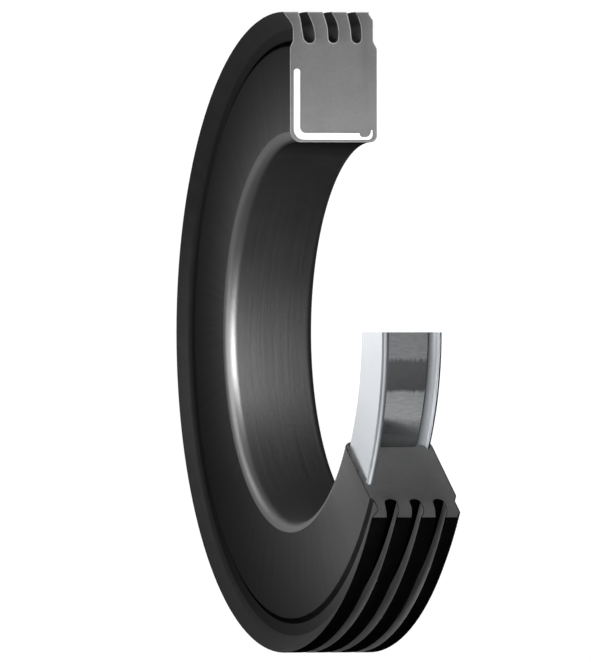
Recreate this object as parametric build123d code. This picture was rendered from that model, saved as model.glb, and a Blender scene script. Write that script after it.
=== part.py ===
from build123d import *
import os

# Shaft seal with outer sealing lips, cut open to show the steel insert moulded into it.
# The section is drawn with X as the radius and Y as the height above the back face, stood up in
# the XZ plane and turned about Z. The front, which the lips hook towards, is up.

# what it fits
shaft_r = 25.0
squeeze = 0.1  # the free bore is this much smaller than the shaft, all round
housing_r = 42.0

# how much of the ring is there, starting from +X; 360 for a whole ring
rubber_arc = 235.0
insert_arc = 270.0

# rubber body
bore_r = shaft_r - squeeze
outer_r = housing_r
width = 12.12
front_corner = 1.55
back_corner = 0.92

# the outer lips grow out of a neck, which is a little narrower than the body and slopes into it
lip_depth = 4.12
neck_height = 3.85
neck_r = outer_r - neck_height
front_step = 0.42
front_slope = 0.71
back_step = 0.55
back_slope = 1.0
front_neck_z = width - front_step

# the front lip hooks past the front face, and the back lip is chamfered
lip_reach = 2.4
lip_bend_run = 1.25
lip_bend_rise = 0.47
lip_rise = 1.45
chamfer_depth = 1.1
chamfer_rise = 0.59
chamfer_edge = 0.28

# grooves between the lips, from the back one to the front one: where each opens, as a share of
# the width, how far its middle and its floor lie behind its mouth, and how round its floor is
groove_place = (0.298, 0.575, 0.855)
mid_lean = (0.70, 0.88, 0.76)
floor_lean = (0.77, 0.88, 1.01)
floor_rounding = (0.67, 0.67, 0.78)
mouth_width = 1.22
throat_width = 1.44
belly_swell = 0.08
throat_share = 0.56  # of the lean at the middle, reached already in the throat
floor_r = outer_r - lip_depth
throat_r = outer_r - 0.243 * lip_depth
belly_r = outer_r - 0.534 * lip_depth

# steel insert: a flange behind the front skin and a cylinder behind the bore skin
sheet = 0.94
bore_skin = 0.3
front_skin = 0.5
back_skin = 0.585
flange_cover = 2.87
outer_bend = 1.45
inner_bend = 0.75
insert_r = bore_r + bore_skin
insert_outer_r = insert_r + sheet
flange_z = width - front_skin
flange_tip_r = neck_r - front_slope - flange_cover

# the insert's back end is coined thin by a round groove, which turns its edge out
coin_r = 0.75
coin_depth = 0.52
end_lip_thickness = 0.295
end_lip_height = 0.43
end_corner = 0.65
end_lip_rounding = 0.12
coin_centre_r = insert_outer_r - coin_depth + coin_r
coin_z = back_skin + end_lip_thickness + coin_r
end_lip_r = insert_outer_r + end_lip_height


def groove(place, lean, deep_lean, rounding):
    """A groove with bowed walls and a round floor that lies behind its mouth."""
    mouth_z = width * place
    throat_z = mouth_z - throat_share * lean
    belly_z = mouth_z - lean
    floor_z = mouth_z - deep_lean
    foot_r = floor_r + rounding
    belly = rounding + belly_swell
    clear_r = outer_r + lip_depth
    with BuildSketch() as cut:
        with BuildLine():
            front = Spline(
                (outer_r, mouth_z + mouth_width / 2),
                (throat_r, throat_z + throat_width / 2),
                (belly_r, belly_z + belly),
                (foot_r, floor_z + rounding),
            )
            floor = ThreePointArc(front @ 1, (floor_r, floor_z), (foot_r, floor_z - rounding))
            back = Spline(
                floor @ 1,
                (belly_r, belly_z - belly),
                (throat_r, throat_z - throat_width / 2),
                (outer_r, mouth_z - mouth_width / 2),
            )
            Polyline(
                back @ 1,
                (clear_r, mouth_z - mouth_width / 2),
                (clear_r, mouth_z + mouth_width / 2),
                front @ 0,
            )
        make_face()
    return cut.sketch


def round_corner(sketch, corner, radius):
    """Rounds the one corner of the sketch that is at, or nearest to, a given point."""
    fillet(sketch.vertices().sort_by_distance(corner)[0], radius)


with BuildSketch() as insert_section:
    with BuildLine():
        Polyline(
            (insert_r, back_skin),
            (insert_r, flange_z),
            (flange_tip_r, flange_z),
            (flange_tip_r, flange_z - sheet),
            (insert_outer_r, flange_z - sheet),
            (insert_outer_r, coin_z),
            (end_lip_r, coin_z),
            (end_lip_r, back_skin),
            close=True,
        )
    make_face()
    with Locations((coin_centre_r, coin_z)):
        Circle(coin_r, mode=Mode.SUBTRACT)
    round_corner(insert_section, (insert_r, back_skin), end_corner)
    round_corner(insert_section, (insert_r, flange_z), outer_bend)
    round_corner(insert_section, (insert_outer_r, flange_z - sheet), inner_bend)
    round_corner(insert_section, (flange_tip_r, flange_z), 0.42 * sheet)
    round_corner(insert_section, (flange_tip_r, flange_z - sheet), 0.42 * sheet)
    round_corner(insert_section, (end_lip_r, back_skin), end_lip_rounding)
    round_corner(insert_section, (end_lip_r, back_skin + end_lip_thickness), end_lip_rounding)

with BuildSketch() as rubber_section:
    with BuildLine():
        edge = Polyline(
            (outer_r, front_neck_z + lip_rise),
            (outer_r, back_step + chamfer_rise),
            (outer_r - chamfer_edge, back_step + chamfer_rise),
            (outer_r - chamfer_depth, back_step),
            (neck_r, back_step),
            (neck_r - back_slope, 0),
            (bore_r, 0),
            (bore_r, width),
            (neck_r - front_slope, width),
            (neck_r, front_neck_z),
            (outer_r - lip_reach, front_neck_z),
        )
        bend_end = edge @ 1 + Vector(lip_bend_run, lip_bend_rise)
        hook = TangentArc(edge @ 1, bend_end, tangent=(1, 0))
        Line(hook @ 1, edge @ 0)
    make_face()
    round_corner(rubber_section, (bore_r, 0), back_corner)
    round_corner(rubber_section, (bore_r, width), front_corner)
    for shape in zip(groove_place, mid_lean, floor_lean, floor_rounding):
        add(groove(*shape), mode=Mode.SUBTRACT)
    add(insert_section.sketch, mode=Mode.SUBTRACT)

rubber_body = revolve(Plane.XZ * rubber_section.sketch, Axis.Z, rubber_arc)
steel_insert = revolve(Plane.XZ * insert_section.sketch, Axis.Z, insert_arc)

os.makedirs("parts", exist_ok=True)
export_step(rubber_body, "parts/rubber_body.step")
export_step(steel_insert, "parts/steel_insert.step")
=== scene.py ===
# %% [markdown]
# # An oil seal, cut open
#
# This scene dresses a radial shaft seal: a moulded rubber ring with lips around its outside, and a
# pressed steel insert hidden inside it. A segment of rubber is cut away, so that the section shows
# at one end and the bare steel sticks out at the other. Every shape here is a turned one: a flat
# section, swept around the Z axis. That is also how the mould and the press tool were cut.

# %% Load the frame
import math

import bmesh
import bpy
from mathutils import Matrix, Vector


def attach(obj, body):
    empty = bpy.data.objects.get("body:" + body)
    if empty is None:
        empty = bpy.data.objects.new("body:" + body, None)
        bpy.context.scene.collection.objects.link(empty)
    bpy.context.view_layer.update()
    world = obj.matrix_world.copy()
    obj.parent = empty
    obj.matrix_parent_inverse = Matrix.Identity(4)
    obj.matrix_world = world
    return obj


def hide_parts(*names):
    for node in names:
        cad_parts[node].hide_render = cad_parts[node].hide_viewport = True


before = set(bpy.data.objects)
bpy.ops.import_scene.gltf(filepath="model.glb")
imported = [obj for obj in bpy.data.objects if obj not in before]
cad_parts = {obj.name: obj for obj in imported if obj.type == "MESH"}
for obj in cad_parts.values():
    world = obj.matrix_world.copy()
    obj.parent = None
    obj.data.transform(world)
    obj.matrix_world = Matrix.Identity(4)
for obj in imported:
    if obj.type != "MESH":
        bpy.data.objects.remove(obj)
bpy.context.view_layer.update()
MM = 0.001

# %% [markdown]
# ## Sizes
#
# The seal is measured from its axis and from its back face, which lies on the floor. The same
# sizes drive the CAD model, so the pieces made here fill exactly the space that its solids hold.
# They are in millimetres, because that is how a seal is drawn, and become metres at the last step.
# Angles start at the first cut, which lies on +X, and grow the way the rubber runs.

# %% Sizes of the seal
bore_r = 24.9
outer_r = 42.0
width = 12.12
rubber_arc = 235.0
insert_arc = 270.0

lip_depth = 4.12
neck_height = 3.85
front_step = 0.42
front_slope = 0.71
neck_r = outer_r - neck_height
floor_r = outer_r - lip_depth
front_neck_z = width - front_step
back_neck_z = 0.55

sheet = 0.94
bore_skin = 0.3
front_skin = 0.5
flange_cover = 2.87
insert_r = bore_r + bore_skin
insert_outer_r = insert_r + sheet
flange_z = width - front_skin
flange_low_z = flange_z - sheet
flange_tip_r = neck_r - front_slope - flange_cover
insert_back_z = 0.585
print("rubber covers", rubber_arc, "degrees, steel", insert_arc)

# %% [markdown]
# ## The outline of the rubber
#
# A moulded section is a handful of straight runs with rounded corners. It could be drawn point by
# point, but then every rounding has to be worked out by hand. Here each corner is placed once,
# sharp, with the size of its rounding beside it, and a vertex bevel rounds it later.
#
# The grooves between the lips are what a seal maker would look at first. Each opens at the outside,
# leans away from the front as it goes in, swells a little, and ends in a round floor, which keeps
# the rubber from tearing there. One function gives the corners of a groove in the order that the
# outline passes them. The three grooves differ only in place, in lean and in how round the floor is.

# %% Corners of the rubber, as (distance from the axis, height, rounding)
mouth_width = 1.22
throat_width = 1.44
throat_r = outer_r - 1.0
belly_r = outer_r - 2.2
throat_share = 0.56  # of the lean at the middle, reached already in the throat
belly_swell = 0.08


def groove(place, mid_lean, deep_lean, floor_rounding):
    """The corners of a groove that opens at this share of the width."""
    mouth_z = place * width
    throat_z = mouth_z - throat_share * mid_lean
    belly_z = mouth_z - mid_lean
    floor_z = mouth_z - deep_lean
    belly = floor_rounding + belly_swell
    floor_bevel = 0.98 * floor_rounding  # the two of a floor almost meet
    return [
        (outer_r, mouth_z + mouth_width / 2, 0.05),
        (throat_r, throat_z + throat_width / 2, 0.45),
        (belly_r, belly_z + belly, 0.6),
        (floor_r, floor_z + floor_rounding, floor_bevel),
        (floor_r, floor_z - floor_rounding, floor_bevel),
        (belly_r, belly_z - belly, 0.6),
        (throat_r, throat_z - throat_width / 2, 0.45),
        (outer_r, mouth_z - mouth_width / 2, 0.05),
    ]


hook_run = 1.78
hook_rise = 1.45
chamfer_z = back_neck_z + 0.59
rubber_corners = [
    (bore_r, 0.0, 0.92),
    (bore_r, width, 1.55),
    (neck_r - front_slope, width, 0.22),
    (neck_r, front_neck_z, 0.22),
    (outer_r - hook_run, front_neck_z, 0.62),
    (outer_r, front_neck_z + hook_rise, 0.06),
    *groove(0.855, 0.76, 1.01, 0.78),
    *groove(0.575, 0.88, 0.88, 0.67),
    *groove(0.298, 0.70, 0.77, 0.67),
    (outer_r, chamfer_z, 0.05),
    (outer_r - 0.28, chamfer_z, 0.08),
    (outer_r - 1.1, back_neck_z, 0.2),
    (neck_r, back_neck_z, 0.25),
    (neck_r - 1.0, 0.0, 0.25),
]
print("corners of the rubber:", len(rubber_corners))

# %% [markdown]
# ## The outline of the insert
#
# The insert is one piece of sheet: a flange, a bend and a wall. Near its back end a round groove is
# coined into the wall, which turns the thin edge behind it outwards. The groove could be an arc of
# many points. Two corners do as well, with roundings that are nearly as large as the groove.

# %% Corners of the insert
coin_depth = 0.52
end_lip_z = insert_back_z + 0.295
end_lip_r = insert_outer_r + 0.43
coin_top_z = end_lip_z + 1.5
insert_corners = [
    (insert_r, insert_back_z, 0.65),
    (insert_r, flange_z, 1.45),
    (flange_tip_r, flange_z, 0.42),
    (flange_tip_r, flange_low_z, 0.42),
    (insert_outer_r, flange_low_z, 0.75),
    (insert_outer_r, coin_top_z, 0.06),
    (insert_outer_r - coin_depth, coin_top_z, 0.45),
    (insert_outer_r - coin_depth, end_lip_z, 0.72),
    (end_lip_r, end_lip_z, 0.12),
    (end_lip_r, insert_back_z, 0.12),
]
print("corners of the insert:", len(insert_corners))

# %% [markdown]
# ## Finishes in nodes
#
# Black rubber is not black: it is a dark grey that takes its life from how it shines, and one piece
# of it can shine in several ways. A picture wrapped around the seal could show that, but it would
# only fit one size. Here each finish is a small tree of nodes that works out its tone from the
# place on the piece. Three questions come up again and again: how far around, how far from the
# axis, and how high. Each has a helper, and so has the little arithmetic that the finishes share.


# %% Numbers that are set or linked, and arithmetic
def connect(tree, value, socket):
    """Sets a socket to a number, or links it to the output of another node."""
    if isinstance(value, (int, float)):
        socket.default_value = value
    else:
        tree.links.new(value, socket)


def math_node(tree, operation, *values):
    """One step of arithmetic on numbers or outputs."""
    node = tree.nodes.new("ShaderNodeMath")
    node.operation = operation
    for socket, value in zip(node.inputs, values):
        connect(tree, value, socket)
    return node.outputs[0]


def times(tree, product, *factors):
    """Multiplies two or more numbers."""
    for factor in factors:
        product = math_node(tree, "MULTIPLY", product, factor)
    return product


def spread(tree, value, low, high, start=0.3, end=0.7):
    """Maps start..end to low..high. Most of a noise lies between the start and end given here."""
    node = tree.nodes.new("ShaderNodeMapRange")
    node.inputs["From Min"].default_value = start
    node.inputs["From Max"].default_value = end
    node.inputs["To Min"].default_value = low
    node.inputs["To Max"].default_value = high
    tree.links.new(value, node.inputs["Value"])
    return node.outputs["Result"]


# %% Places on the seal
def split(tree, where):
    """The X, Y and Z of a place, in metres."""
    node = tree.nodes.new("ShaderNodeSeparateXYZ")
    tree.links.new(where, node.inputs[0])
    return node.outputs


def angle_at(tree, where):
    """The angle around the axis, in radians from -pi to pi."""
    xyz = split(tree, where)
    return math_node(tree, "ARCTAN2", xyz["Y"], xyz["X"])


def radius_at(tree, where):
    """The distance from the axis in mm."""
    xyz = split(tree, where)
    square = times(tree, xyz["X"], xyz["X"])
    square = math_node(tree, "MULTIPLY_ADD", xyz["Y"], xyz["Y"], square)
    return times(tree, math_node(tree, "SQRT", square), 1 / MM)


def height_at(tree, where):
    """The height above the back face in mm."""
    return times(tree, split(tree, where)["Z"], 1 / MM)


def from_cut(tree, where, near, far, start, end):
    """Goes from near to far between these two angles from the first cut, in degrees either way."""
    turn = math_node(tree, "ABSOLUTE", angle_at(tree, where))
    return spread(tree, turn, near, far, math.radians(start), math.radians(end))


# %% Patterns and the shader
def noise(tree, where, scale, detail=3.0):
    """Soft random spots, about this many to each unit of the place."""
    node = tree.nodes.new("ShaderNodeTexNoise")
    node.inputs["Scale"].default_value = scale
    node.inputs["Detail"].default_value = detail
    tree.links.new(where, node.inputs["Vector"])
    return node.outputs["Fac"]


def mottle(tree, where, scale, amount, detail=3.0):
    """A factor that wanders around 1, by up to this amount either way."""
    return spread(tree, noise(tree, where, scale, detail), 1 - amount, 1 + amount)


def flat_place(tree, x, y):
    """A place made of two numbers, for a pattern that is finer one way than the other."""
    node = tree.nodes.new("ShaderNodeCombineXYZ")
    tree.links.new(x, node.inputs["X"])
    tree.links.new(y, node.inputs["Y"])
    return node.outputs["Vector"]


def grey(tree, tone, tint):
    """A grey colour from a number, with a slight tint."""
    parts = tree.nodes.new("ShaderNodeCombineColor")
    for socket, share in zip(parts.inputs, tint):
        tree.links.new(times(tree, tone, share), socket)
    return parts.outputs["Color"]


def new_material(name):
    """A material with its node tree, its shader, and the place on the piece that nodes read."""
    material = bpy.data.materials.new(name)
    material.use_nodes = True
    tree = material.node_tree
    place = tree.nodes.new("ShaderNodeTexCoord")
    return material, tree, tree.nodes["Principled BSDF"], place.outputs["Object"]


def set_surface(tree, shader, tone, roughness, shine=0.5, tint=(1.0, 1.0, 1.0)):
    """Sets the grey tone, the roughness, and how much a surface that isn't metal mirrors."""
    tree.links.new(grey(tree, tone, tint), shader.inputs["Base Color"])
    connect(tree, roughness, shader.inputs["Roughness"])
    shader.inputs["Specular IOR Level"].default_value = shine


def bump(tree, shader, height, distance):
    """Raises the surface by up to this distance in metres where the height is 1."""
    node = tree.nodes.new("ShaderNodeBump")
    node.inputs["Strength"].default_value = 1.0
    node.inputs["Distance"].default_value = distance
    tree.links.new(height, node.inputs["Height"])
    tree.links.new(node.outputs["Normal"], shader.inputs["Normal"])


# %% [markdown]
# ## Moulded skin
#
# The front and back faces keep the skin that the mould gave them. It is dull, and it carries faint
# lines that run outwards, because that is how the mould was polished. Noise on the bare place would
# give round spots. Noise that is fed the angle many times over, and the radius hardly at all, is
# drawn out into lines that stay radial all the way round.


# %% Moulded skin
def moulded_rubber():
    """Dull dark grey, with fine lines that run outwards."""
    material, tree, shader, where = new_material("moulded rubber")
    radius = radius_at(tree, where)
    spokes = times(tree, angle_at(tree, where), 70.0)
    outwards = times(tree, radius, 0.05)
    streaks = noise(tree, flat_place(tree, spokes, outwards), 1.0, 4.0)
    # painted shade: the skin gets about 8 % darker with each mm outwards, for light that falls off
    # away from the bore
    painted_falloff = math_node(tree, "MULTIPLY_ADD", radius, -0.083, 2.28)
    tone = times(tree, math_node(tree, "EXPONENT", painted_falloff), 0.0475)
    tone = times(tree, tone, spread(tree, streaks, 0.9, 1.1))
    set_surface(tree, shader, tone, spread(tree, streaks, 0.55, 0.65), 0.003)
    bump(tree, shader, noise(tree, where, 2500.0, 2.0), 0.00001)
    return material


moulded_skin = moulded_rubber()
print("made", moulded_skin.name)

# %% [markdown]
# ## Hooked lip and neck
#
# The front lip bends up past the front face and grips the housing first, so its slope is wiped
# smooth and has a low shine. The small slope at its foot, the neck, is painted dark, a painted shade
# on that slope. Both could be the skin again, but then the ring's rim would look like one flat band.
# They get finishes of their own, which also change beside the first cut, as they do in the
# photograph: there the lip is painted darker, a painted shade, and the neck paler, painted light.


# %% Hooked lip and neck
def hook_rubber():
    """Nearly black, with a low shine, and darker beside the first cut, a painted shade."""
    material, tree, shader, where = new_material("hooked lip rubber")
    # painted shade: the lip is darker beside the first cut
    tone = from_cut(tree, where, 0.0015, 0.0075, 5, 45)
    tone = times(tree, tone, mottle(tree, where, 500.0, 0.2))
    set_surface(tree, shader, tone, 0.45, 0.025)
    bump(tree, shader, noise(tree, where, 2500.0, 2.0), 0.00001)
    return material


def neck_rubber():
    """Dark as painted shade, paler beside the first cut as painted light, and without any shine."""
    material, tree, shader, where = new_material("neck rubber")
    # painted light beside the first cut, and painted shade on the dark slope further round
    tone = from_cut(tree, where, 0.02, 0.0038, 4, 28)
    tone = times(tree, tone, mottle(tree, where, 600.0, 0.2))
    set_surface(tree, shader, tone, 0.8, 0.0)
    return material


hooked_lip, neck = hook_rubber(), neck_rubber()
print("made", hooked_lip.name, "and", neck.name)

# %% [markdown]
# ## Ground bore
#
# The bore grips the shaft, so it is ground after moulding. It is smoother than the skin and mirrors
# its surroundings, with faint lines that run around it. They come from noise on the angle and the
# height, with the height counted several times over. Towards the first cut the bore is painted
# darker, a painted shade. Beside that cut a strip of the bore has lost its shine. That strip is a
# finish of its own, since how much a surface mirrors is one number.


# %% Ground bore
def bore_rubber():
    """Smooth and dark, with faint lines around the bore, and darker towards the first cut, a painted
    shade.
    """
    material, tree, shader, where = new_material("bore rubber")
    across = times(tree, height_at(tree, where), 2.5)
    lines = noise(tree, flat_place(tree, angle_at(tree, where), across), 1.5)
    # painted shade: darker towards the first cut
    tone = from_cut(tree, where, 0.0008, 0.0075, 12, 60)
    tone = times(tree, tone, mottle(tree, where, 220.0, 0.15, 4.0))
    set_surface(tree, shader, tone, spread(tree, lines, 0.38, 0.44), 0.35)
    bump(tree, shader, noise(tree, where, 1500.0), 0.000012)
    return material


def bore_end_rubber():
    """The bore next to the first cut, which has lost its shine, and is darker nearer the cut, a
    painted shade.
    """
    material, tree, shader, where = new_material("bore end rubber")
    # painted shade: darker nearer the first cut
    tone = from_cut(tree, where, 0.0042, 0.0096, 8, 22)
    tone = times(tree, tone, mottle(tree, where, 400.0, 0.1))
    set_surface(tree, shader, tone, 0.7, 0.0)
    return material


bore, bore_end = bore_rubber(), bore_end_rubber()
print("made", bore.name, "and", bore_end.name)

# %% [markdown]
# ## Lands and groove walls
#
# The lands are the outer edges of the lips. The housing wipes them matt. They are painted nearly
# black on the camera's side, a painted shade, and a little lighter on the far side, where the lips
# would else run together. The groove walls between them are painted paler, painted light where the
# lamps bring little, and darker towards the floor, a painted shade. The round floors could be a
# third finish, but they are as black as the lands all the way round, apart from a pale stretch
# beside the first cut, painted light, so the land's finish covers them and grows paler there.


# %% Lands and groove walls
def land_rubber():
    """Nearly black, and without any shine."""
    # Painted nearly black as shade, lighter on the far side, paler on the floors beside the first
    # cut as painted light, and without any shine.
    material, tree, shader, where = new_material("lip land rubber")
    floor_only = spread(tree, radius_at(tree, where), 1.0, 0.0, floor_r + 0.72, floor_r + 1.52)
    # painted light on the groove floors beside the first cut
    near_cut = times(tree, from_cut(tree, where, 0.25, 0.0, 5, 20), floor_only)
    # painted shade: nearly black on the camera's side, lighter on the far side
    sideways = times(tree, split(tree, where)["Y"], 1 / MM)
    far_side = spread(tree, sideways, 0.0008, 0.03, 3.0, 18.0)
    tone = math_node(tree, "MAXIMUM", near_cut, far_side)
    tone = times(tree, tone, mottle(tree, where, 400.0, 0.3))
    set_surface(tree, shader, tone, 0.8, 0.0)
    return material


def groove_rubber():
    """Painted pale at the mouth as light, and darker towards the floor as painted shade."""
    material, tree, shader, where = new_material("groove wall rubber")
    radius = radius_at(tree, where)
    # painted light and shade: pale at the mouth, where the lamps bring little light, darker deeper
    # in
    mouth = spread(tree, radius, 0.15, 0.4, outer_r - 2.5, outer_r - 0.3)
    # painted shade: the mouth is much darker beside the first cut
    mouth = times(tree, mouth, from_cut(tree, where, 0.05, 1.0, 20, 90))
    # painted light: beside the first cut the wall is paler deep in the groove
    foot = spread(tree, radius, 0.2, 0.015, outer_r - 3.8, outer_r - 1.6)
    near_cut = from_cut(tree, where, 1.0, 0.0, 6, 20)
    tone = math_node(tree, "MULTIPLY_ADD", foot, near_cut, mouth)
    tone = times(tree, tone, mottle(tree, where, 500.0, 0.1))
    set_surface(tree, shader, tone, 0.85, 0.0)
    return material


land, groove_wall = land_rubber(), groove_rubber()
print("made", land.name, "and", groove_wall.name)

# %% [markdown]
# ## Cut rubber
#
# Sawing bares the filler in the rubber, so a cut face is pale and dull, with the mottle that the saw
# leaves, and it is painted paler towards the bore, a painted light. Its edge is never perfectly
# sharp:
# a thin pale line, a painted highlight, runs around it where the saw broke it, and the eye takes it
# for real. The line is a strip of faces with a finish of its own.


# %% Cut rubber and its broken edge
def cut_rubber():
    """Pale and dull, and paler towards the bore, a painted light."""
    material, tree, shader, where = new_material("cut rubber")
    grain = noise(tree, where, 2200.0)
    # painted light: paler towards the bore
    tone = spread(tree, radius_at(tree, where), 0.15, 0.1, 27.0, 41.0)
    tone = times(tree, tone, mottle(tree, where, 300.0, 0.06, 4.0), spread(tree, grain, 0.95, 1.05))
    set_surface(tree, shader, tone, 0.85, 0.02)
    bump(tree, shader, grain, 0.00001)
    return material


def edge_highlight_rubber():
    """The pale line along the broken edge of a cut, a painted highlight."""
    material, tree, shader, where = new_material("broken edge painted highlight")
    # painted highlight: the broken edge is paler than the cut face
    set_surface(tree, shader, spread(tree, noise(tree, where, 900.0), 0.22, 0.30), 0.8, 0.02)
    return material


cut_face_rubber, broken_edge = cut_rubber(), edge_highlight_rubber()
print("made", cut_face_rubber.name, "and", broken_edge.name)

# %% [markdown]
# ## Bright steel
#
# The flange is rolled sheet, bright and very slightly blue. The wall was drawn through a die. It
# shows bands along the axis, some dark and some bright, all with ragged edges: painted reflections
# of the dark and bright places around it. Stripes of equal width would look printed, so the bands
# are read from a short row of stops by the angle, and noise pushes the angle to and fro before it is
# read, which makes the edges ragged.


# %% Bright steel
def past_rubber(tree, angle, near, far, start, end):
    """Goes from near to far between these two angles past the rubber's end, in degrees."""
    low_cut = rubber_arc - 360
    return spread(tree, angle, near, far, math.radians(low_cut + start), math.radians(low_cut + end))


def by_stops(tree, value, stops):
    """A number read from a row of (place, value) stops."""
    node = tree.nodes.new("ShaderNodeValToRGB")
    ramp = node.color_ramp
    # a new ramp has two stops, and the second waits here until it can be removed
    ramp.elements[1].position = 0.001
    for place, level in stops:
        stop = ramp.elements[0] if place == 0 else ramp.elements.new(place)
        stop.color = (level, level, level, 1)
    ramp.elements.remove(ramp.elements[1])
    tree.links.new(value, node.inputs["Fac"])
    return node.outputs["Color"]


def flange_steel():
    """Bright rolled sheet, darker next to the rubber, a painted shade from the rubber beside it."""
    material, tree, shader, where = new_material("flange steel")
    shader.inputs["Metallic"].default_value = 1.0
    # painted shade: darker next to the rubber
    tone = past_rubber(tree, angle_at(tree, where), 0.48, 0.72, 5, 33)
    tone = times(tree, tone, mottle(tree, where, 90.0, 0.03))
    haze = spread(tree, noise(tree, where, 150.0, 2.0), 0.24, 0.27)
    set_surface(tree, shader, tone, haze, tint=(0.96, 1.0, 1.05))
    return material


def wall_steel():
    """Drawn steel, with painted reflections in bands along the axis with ragged edges."""
    material, tree, shader, where = new_material("drawn wall steel")
    shader.inputs["Metallic"].default_value = 1.0
    angle, height = angle_at(tree, where), height_at(tree, where)
    tooth_place = flat_place(tree, times(tree, angle, 12.0), times(tree, height, 4.0))
    teeth = noise(tree, tooth_place, 1.0, 4.0)
    ragged = math_node(tree, "MULTIPLY_ADD", teeth, 0.04, angle)
    # painted reflections: dark and bright bands, read from stops by the angle
    bands = by_stops(tree, past_rubber(tree, ragged, 0.0, 1.0, 1.1, 36.1), (
        (0.00, 0.06), (0.13, 0.09), (0.21, 0.14), (0.28, 0.23), (0.50, 0.20),
        (0.525, 0.055), (0.76, 0.075), (0.79, 0.17), (1.00, 0.17),
    ))
    ripple_place = flat_place(tree, times(tree, angle, 90.0), times(tree, height, 0.8))
    tone = times(tree, bands, mottle(tree, ripple_place, 1.0, 0.1))
    dull = past_rubber(tree, angle, 0.5, 0.12, 3, 10)
    set_surface(tree, shader, tone, dull, tint=(0.98, 1.0, 1.03))
    return material


drawn_wall, rolled_flange = wall_steel(), flange_steel()
print("made", drawn_wall.name, "and", rolled_flange.name)

# %% [markdown]
# ## Worked steel, with painted highlights
#
# As metal, the coined end, the flange's tip and the two cuts would only show what they mirror, so
# they are painted as matt greys, with their highlights and reflections painted in. The coined end is
# dark with a few bright lines and the flange's tip has lines of its own, all painted highlights and
# reflections, and the two cuts are painted nearly white, a painted reflection of the white around
# them. A row of stops by height gives each its lines.


# %% Worked steel, with painted highlights
def dull_steel(name, low, high, stops):
    """Steel painted matt, with tones that change from one height to another."""
    material, tree, shader, where = new_material(name)
    share = spread(tree, height_at(tree, where), 0.0, 1.0, low, high)
    tone = times(tree, by_stops(tree, share, stops), mottle(tree, where, 300.0, 0.08))
    set_surface(tree, shader, tone, 0.45, 0.1, (0.95, 1.0, 1.06))
    return material


def cut_steel():
    """Sawn steel painted near white, a painted reflection of the white around it."""
    material, tree, shader, where = new_material("cut steel")
    # painted reflection: matt near white stands in for the mirrored white
    set_surface(tree, shader, spread(tree, noise(tree, where, 900.0), 0.84, 0.90), 0.5, 0.05)
    return material


coined_z = insert_back_z + 1.8  # just above the coined groove
# painted highlights and reflections: a dark edge, a bright line, then darker bands up the coined
# groove
coined_edge = dull_steel("coined steel", insert_back_z, coined_z, (
    (0.0, 0.006), (0.13, 0.008), (0.145, 0.55), (0.2, 0.55), (0.24, 0.26), (0.3, 0.2),
    (0.42, 0.16), (0.55, 0.12), (0.7, 0.085), (0.84, 0.04), (0.9, 0.02), (1.0, 0.02),
))
# painted highlights and reflections on the flange's rounded tip
flange_tip_lines = dull_steel("flange tip steel", flange_low_z, flange_z, (
    (0.0, 0.03), (0.2, 0.045), (0.42, 0.055), (0.52, 0.15), (0.75, 0.17), (0.82, 0.06),
    (0.93, 0.07), (1.0, 0.12),
))
# a dark rim around the cut faces of the steel
dark_cut_rim = dull_steel("dark cut rim steel", 0.0, width, ((0.0, 0.05), (1.0, 0.06)))
sawn_end = cut_steel()
print("made", [m.name for m in (coined_edge, flange_tip_lines, dark_cut_rim, sawn_end)])

# %% [markdown]
# ## Turning a section
#
# A section starts as one flat face with sharp corners, and a vertex bevel rounds them: its offset is
# how far the rounding reaches along each side, so on a square corner it is the radius. Spin then
# sweeps the loop of edges around the axis, and leaves a skin open at both ends.
#
# The ends are the saw cuts, and a cut's edge is broken. So each end face is made a hair smaller than
# the section with an inset, and the edge around it is drawn back a little.


# %% Flat sections and spinning
step_angle = 2.5


def flat_section(corners):
    """A flat face in the XZ plane. Each corner is (distance from the axis, height, rounding)."""
    bm = bmesh.new()
    points = [bm.verts.new((r * MM, 0, z * MM)) for r, z, _ in corners]
    bm.faces.new(points)
    for point, (_, _, rounding) in zip(points, corners):
        bmesh.ops.bevel(
            bm,
            geom=[point],
            offset=rounding * MM,
            offset_type="OFFSET",
            segments=3 if rounding < 0.2 else 6 if rounding < 0.8 else 12,
            profile=0.5,
            affect="VERTICES",
            material=-1,
        )
    return bm


def open_outline(bm):
    """Deletes the only face of a flat section and returns the loop of edges around it."""
    face = bm.faces[:][0]
    edges = list(face.edges)
    bmesh.ops.delete(bm, geom=[face], context="FACES_ONLY")
    return edges


def spin_skin(bm, edges, arc):
    """Sweeps a loop of edges around Z and returns the loop at the far end."""
    points = list({v for e in edges for v in e.verts})
    swept = bmesh.ops.spin(
        bm,
        geom=points + edges,
        cent=(0, 0, 0),
        axis=(0, 0, 1),
        dvec=(0, 0, 0),
        angle=math.radians(arc),
        steps=round(arc / step_angle),
        use_merge=False,
        use_normal_flip=False,
        use_duplicate=False,
    )
    return [g for g in swept["geom_last"] if isinstance(g, bmesh.types.BMEdge)]


# %% Close the ends, and make the piece
doubles_distance = 1e-7
crisp_angle = math.radians(28)


def around(angle):
    """The direction in which a point at this angle moves as the angle grows."""
    a = math.radians(angle)
    return Vector((-math.sin(a), math.cos(a), 0))


def cut_face(bm, edges, inwards, finish, edge_finish, border=0.1, drop=0.03):
    """Closes a loop with a flat face whose edge is broken, and returns that face."""
    face = bmesh.ops.contextual_create(bm, geom=edges)["faces"][0]
    rim = list(face.verts)
    strips = bmesh.ops.inset_region(
        bm, faces=[face], thickness=border * MM, depth=0, use_even_offset=True
    )["faces"]
    for strip in strips:
        strip.material_index = edge_finish
    bmesh.ops.translate(bm, verts=rim, vec=Vector(inwards) * drop * MM)
    face.material_index = finish
    return face


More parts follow.
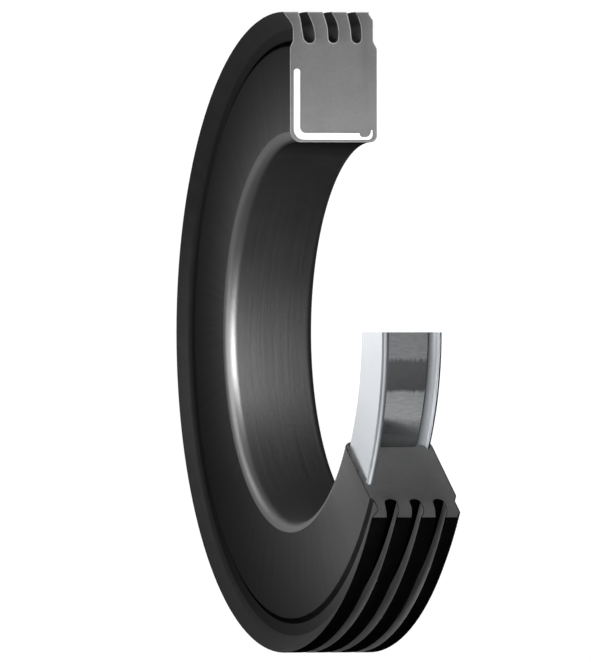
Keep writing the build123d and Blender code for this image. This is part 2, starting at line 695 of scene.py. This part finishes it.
def merge_doubles(bm):
    """Joins points that lie together and turns all faces outwards."""
    bmesh.ops.remove_doubles(bm, verts=bm.verts, dist=doubles_distance)
    bmesh.ops.recalc_face_normals(bm, faces=bm.faces)


def place_of(face):
    """A face's distance from the axis and height in mm, and its angle from the first cut."""
    middle = face.calc_center_median()
    turn = abs(math.degrees(math.atan2(middle.y, middle.x)))
    return math.hypot(middle.x, middle.y) / MM, middle.z / MM, turn


def finish_piece(bm, name, materials):
    """Turns the bmesh into an object with outward faces and crisp cut edges."""
    merge_doubles(bm)
    for face in bm.faces:
        face.smooth = True
    for edge in bm.edges:
        edge.smooth = edge.calc_face_angle(0) < crisp_angle
    mesh = bpy.data.meshes.new(name)
    bm.to_mesh(mesh)
    open_edges = sum(1 for e in bm.edges if len(e.link_faces) != 2)
    print(name, "faces", len(bm.faces), "open edges", open_edges)
    bm.free()
    for material in materials:
        mesh.materials.append(material)
    piece = bpy.data.objects.new(name, mesh)
    bpy.context.scene.collection.objects.link(piece)
    return piece


# %% [markdown]
# ## The rubber ring
#
# The insert lies in a channel inside the rubber. The channel is a second loop, spun along with the
# outline, and the two are joined by the end faces, so the ring is one closed shell. An end face
# between two loops can't be one polygon, because a polygon has no hole. Triangle fill makes it.

# %% Spin the rubber
# a new face has the first finish of its piece
rubber_finishes = [
    moulded_skin, bore, land, cut_face_rubber, broken_edge, hooked_lip, groove_wall, neck, bore_end
]
MOULDED, BORE, LAND, CUT, BROKEN, HOOK, GROOVE, NECK, BORE_END = range(len(rubber_finishes))

bm = flat_section(rubber_corners)
outline_start = open_outline(bm)

channel_bm = flat_section(insert_corners)
channel_mesh = bpy.data.meshes.new("channel")
channel_bm.to_mesh(channel_mesh)
channel_bm.free()
before = set(bm.edges)
bm.from_mesh(channel_mesh)
bpy.data.meshes.remove(channel_mesh)
channel_start = [e for e in bm.edges if e not in before]
bmesh.ops.delete(bm, geom=bm.faces[:], context="FACES_ONLY")

outline_end = spin_skin(bm, outline_start, rubber_arc)
channel_end = spin_skin(bm, channel_start, rubber_arc)
print("ring skin:", len(bm.faces), "faces")

# %% Close its ends
for outer, inner, inwards, edge_finish in (
    (outline_start, channel_start, around(0.0), BROKEN),
    (outline_end, channel_end, -around(rubber_arc), LAND),
):
    face = cut_face(bm, outer, inwards, CUT, edge_finish)
    rim = list(face.edges)
    bmesh.ops.delete(bm, geom=[face], context="FACES_ONLY")
    filled = bmesh.ops.triangle_fill(
        bm, use_beauty=True, use_dissolve=False, edges=rim + inner
    )
    for g in filled["geom"]:
        if isinstance(g, bmesh.types.BMFace):
            g.material_index = CUT
merge_doubles(bm)
bm.normal_update()
print("closed ring:", len(bm.faces), "faces")

# %% [markdown]
# ## Which finish goes where
#
# On the real ring the finish changes where the shape does: at the foot of a lip, at the corner of
# the bore, at the mouth of a groove. Painting a mask would do, but the mask would slip as soon as a
# size changes. The same named sizes that made the shape can sort its faces.

# %% Sort the faces of the ring
land_r = outer_r - 0.06
hook_r = outer_r - 2.3
neck_foot_r = neck_r - 0.65
floor_top_r = floor_r + 0.62
groove_low_z = back_neck_z + 0.7
groove_high_z = front_neck_z - 0.3
back_facing = 0.3  # a face that looks up less than this
bore_corner_r = bore_r + 1.6
bore_wall_r = bore_r + 0.03
bore_end_angle = 22.0
hair = 0.02
leeway = 0.1


def ring_finish(face):
    """The finish for a face of the skin, which otherwise keeps the one that it has."""
    r, z, turn = place_of(face)
    in_groove = r > floor_r - hair and groove_low_z < z < groove_high_z
    floor_or_back = r < floor_top_r or face.normal.z < back_facing
    if r > land_r or (in_groove and floor_or_back):
        return LAND
    if in_groove:
        return GROOVE
    if neck_foot_r < r < neck_r + leeway and z > front_neck_z:
        return NECK
    if r > hook_r and z > front_neck_z - leeway:
        return HOOK
    if r < bore_wall_r and turn < bore_end_angle:
        return BORE_END
    if r < bore_corner_r and z < width - hair:
        return BORE
    return face.material_index


for face in bm.faces:
    if face.material_index not in (CUT, BROKEN):
        face.material_index = ring_finish(face)
rubber_ring = finish_piece(bm, "rubber_ring", rubber_finishes)
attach(rubber_ring, "root")
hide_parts("rubber_body")

# %% [markdown]
# ## The steel insert
#
# The insert follows the same channel, and goes on past the rubber for another part of a turn. It is
# spun a second time from the same corners. The channel's own faces could be copied and turned
# inside out instead, but then a change to one piece would quietly change the other.

# %% Spin the insert
steel_finishes = [drawn_wall, rolled_flange, sawn_end, coined_edge, flange_tip_lines, dark_cut_rim]
WALL, FLANGE, SAWN, COINED, FLANGE_TIP, DARK_RIM = range(len(steel_finishes))
tip_lines_r = flange_tip_r - 0.43
flange_bottom_z = flange_low_z - 0.05

bm = flat_section(insert_corners)
start = open_outline(bm)
end = spin_skin(bm, start, insert_arc)
cut_face(bm, start, around(0.0), SAWN, DARK_RIM, border=0.04)
cut_face(bm, end, -around(insert_arc), SAWN, DARK_RIM, border=0.1, drop=0.1)
for face in bm.faces:
    if face.material_index == WALL:
        r, z, _ = place_of(face)
        if z < coined_z:
            face.material_index = COINED
        elif z > flange_bottom_z:
            face.material_index = FLANGE_TIP if r > tip_lines_r else FLANGE
steel_ring = finish_piece(bm, "steel_ring", steel_finishes)
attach(steel_ring, "root")
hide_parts("steel_insert")

# %% [markdown]
# ## Floor and surroundings
#
# The seal lies on its back face on a pale floor. A white background could come from strong lamps on
# a white floor, but they would wash out the rubber as well. Instead the floor and the world show
# white to the camera and in reflections, while matt surfaces get hardly any light from them. Once a
# ray has left a matt surface it finds no white either, or mirrored light would land on the seal.


# %% Floor
def not_after_matt(tree, rays, value):
    """The value, or nothing once a ray has left a matt face."""
    bounced = math_node(tree, "MINIMUM", rays["Diffuse Depth"], 1.0)
    return times(tree, value, math_node(tree, "SUBTRACT", 1.0, bounced))


def floor_material():
    """Pale. Its glow makes it white to the camera, and in reflections outside the ring; inside the
    ring the reflected glow is taken out, a painted shade of the ring.
    """
    material, tree, shader, where = new_material("pale floor")
    set_surface(tree, shader, spread(tree, noise(tree, where, 30.0), 0.11, 0.13), 1.0, 0.0)
    # painted shade: reflections see no glow from the floor inside the ring
    outside = spread(tree, radius_at(tree, where), 0.0, 1.0, 25.0, 28.0)
    rays = tree.nodes.new("ShaderNodeLightPath").outputs
    mirrored = math_node(tree, "MAXIMUM", rays["Is Glossy Ray"], rays["Is Transmission Ray"])
    seen = math_node(tree, "MAXIMUM", rays["Is Camera Ray"], times(tree, mirrored, outside))
    glow = times(tree, not_after_matt(tree, rays, seen), 0.98)
    tree.links.new(glow, shader.inputs["Emission Strength"])
    shader.inputs["Emission Color"].default_value = (1, 1, 1, 1)
    return material


bm = bmesh.new()
bmesh.ops.create_grid(bm, x_segments=1, y_segments=1, size=4.0)
floor_mesh = bpy.data.meshes.new("floor")
bm.to_mesh(floor_mesh)
bm.free()
floor_mesh.materials.append(floor_material())
floor = bpy.data.objects.new("floor", floor_mesh)
bpy.context.scene.collection.objects.link(floor)
print("floor:", floor.dimensions[:2], "m")

# %% World
world = bpy.data.worlds.new("studio")
bpy.context.scene.world = world
world.use_nodes = True
tree = world.node_tree
background = tree.nodes["Background"]
background.inputs["Color"].default_value = (1, 1, 1, 1)
rays = tree.nodes.new("ShaderNodeLightPath").outputs
seen = math_node(tree, "MAXIMUM", rays["Is Camera Ray"], rays["Is Glossy Ray"])
seen = math_node(tree, "MAXIMUM", seen, rays["Is Transmission Ray"])
seen = not_after_matt(tree, rays, seen)
world_matt = 0.04
tree.links.new(spread(tree, seen, world_matt, 1.0, 0.0, 1.0), background.inputs["Strength"])
print("the world lights matt surfaces at", world_matt)

# %% [markdown]
# ## Lamps
#
# The photograph looks as if one large soft lamp stood low on the camera's side, with more around
# the seal for the highlights in the rubber. Rubber mirrors only a few percent, so a lamp strong
# enough to show in it would burn out every matt surface. So there are two sets: matt lamps at a
# plain level, which reflections don't show, and strong gloss lamps, which show only in them.


# %% Matt lamps
lamp_target = (0, 0, 6)
lamp_distance = 450


def softbox(name, place, aim, size, power):
    """A rectangular lamp at a place in mm that looks at another."""
    lamp = bpy.data.lights.new(name, "AREA")
    lamp.shape = "RECTANGLE"
    lamp.size, lamp.size_y = (side * MM for side in size)
    lamp.energy = power
    holder = bpy.data.objects.new(name, lamp)
    holder.location = Vector(place) * MM
    away = (Vector(place) - Vector(aim)) * MM
    holder.rotation_euler = away.to_track_quat("Z", "Y").to_euler()
    holder.visible_camera = False
    bpy.context.scene.collection.objects.link(holder)
    return holder


def around_seal(azimuth, elevation):
    """A place in mm. Azimuth 0 is the camera's side, and it grows towards +X."""
    a, e = math.radians(azimuth), math.radians(elevation)
    away = Vector((math.sin(a) * math.cos(e), -math.cos(a) * math.cos(e), math.sin(e)))
    return away * lamp_distance + Vector(lamp_target)


for name, place, aim, size, power in (
    ("key", around_seal(-17, 7), lamp_target, (150, 150), 3.0),
    ("inner fill", (-10.4, -9.7, 38.6), (42, -16, 12), (8, 8), 0.038),
    ("low kicker", (-29, -36.1, 34), (-42, -36, 12), (8, 8), 0.029),
    ("groove fill", (-47, -61.9, 34), (42, -42, 12), (8, 8), 0.027),
    ("back fill", around_seal(148, 1.5), lamp_target, (160, 18), 2.4),
    ("far fill", around_seal(-160, 1.5), lamp_target, (160, 18), 1.8),
):
    softbox(name, place, aim, size, power).visible_glossy = False

# %% Gloss lamps
for name, azimuth, elevation, size, radiance in (
    ("gloss corner", 14, 30, (220, 350), 86.0),
    ("gloss bore", 38, 6, (150, 120), 55.0),
    ("gloss left", -15, 18, (120, 120), 35.0),
    ("gloss top", 60, 76, (340, 340), 18.0),
    ("gloss back right", 125, 42, (200, 200), 9.0),
    ("gloss back left", -145, 42, (200, 200), 1.5),
):
    area = size[0] * size[1] * MM * MM
    power = radiance * math.pi * area
    lamp = softbox(name, around_seal(azimuth, elevation), lamp_target, size, power)
    lamp.visible_diffuse = False
    lamp.data.use_nodes = True
    tree = lamp.data.node_tree
    rays = tree.nodes.new("ShaderNodeLightPath").outputs
    tree.links.new(not_after_matt(tree, rays, 1.0), tree.nodes["Emission"].inputs["Strength"])
    print(name, "has", round(power, 2), "W")

# %% [markdown]
# ## Camera
#
# The photograph shows the seal standing on edge, seen almost without perspective, with its axis
# level and turned a little towards the viewer. The seal lies flat here, so the camera does what
# the photographer's hand did: it looks from the side, 19.66 degrees above the floor, and is rolled
# a quarter turn, so that the top of the picture is +X. A very long lens takes the perspective out.

# %% Camera
tilt = math.radians(19.66)
distance = 3.615
target = Vector((0.157, 0, 11.36)) * MM
towards_camera = Vector((0, -math.cos(tilt), math.sin(tilt)))
up = Vector((1, 0, 0))
right = up.cross(towards_camera)
camera_data = bpy.data.cameras.new("camera")
camera_data.lens = 1500
camera_data.sensor_fit = "VERTICAL"
camera_data.sensor_height = 36
camera_data.clip_start = 0.1
camera_data.clip_end = 20
camera = bpy.data.objects.new("camera", camera_data)
camera.matrix_world = Matrix.Translation(target + towards_camera * distance) @ Matrix(
    (right, up, towards_camera)
).transposed().to_4x4()
bpy.context.scene.collection.objects.link(camera)
bpy.context.scene.camera = camera
bpy.context.scene.view_settings.view_transform = "Standard"
view_height = distance * camera_data.sensor_height / camera_data.lens
print("the picture is", round(view_height / MM, 1), "mm high at the seal")
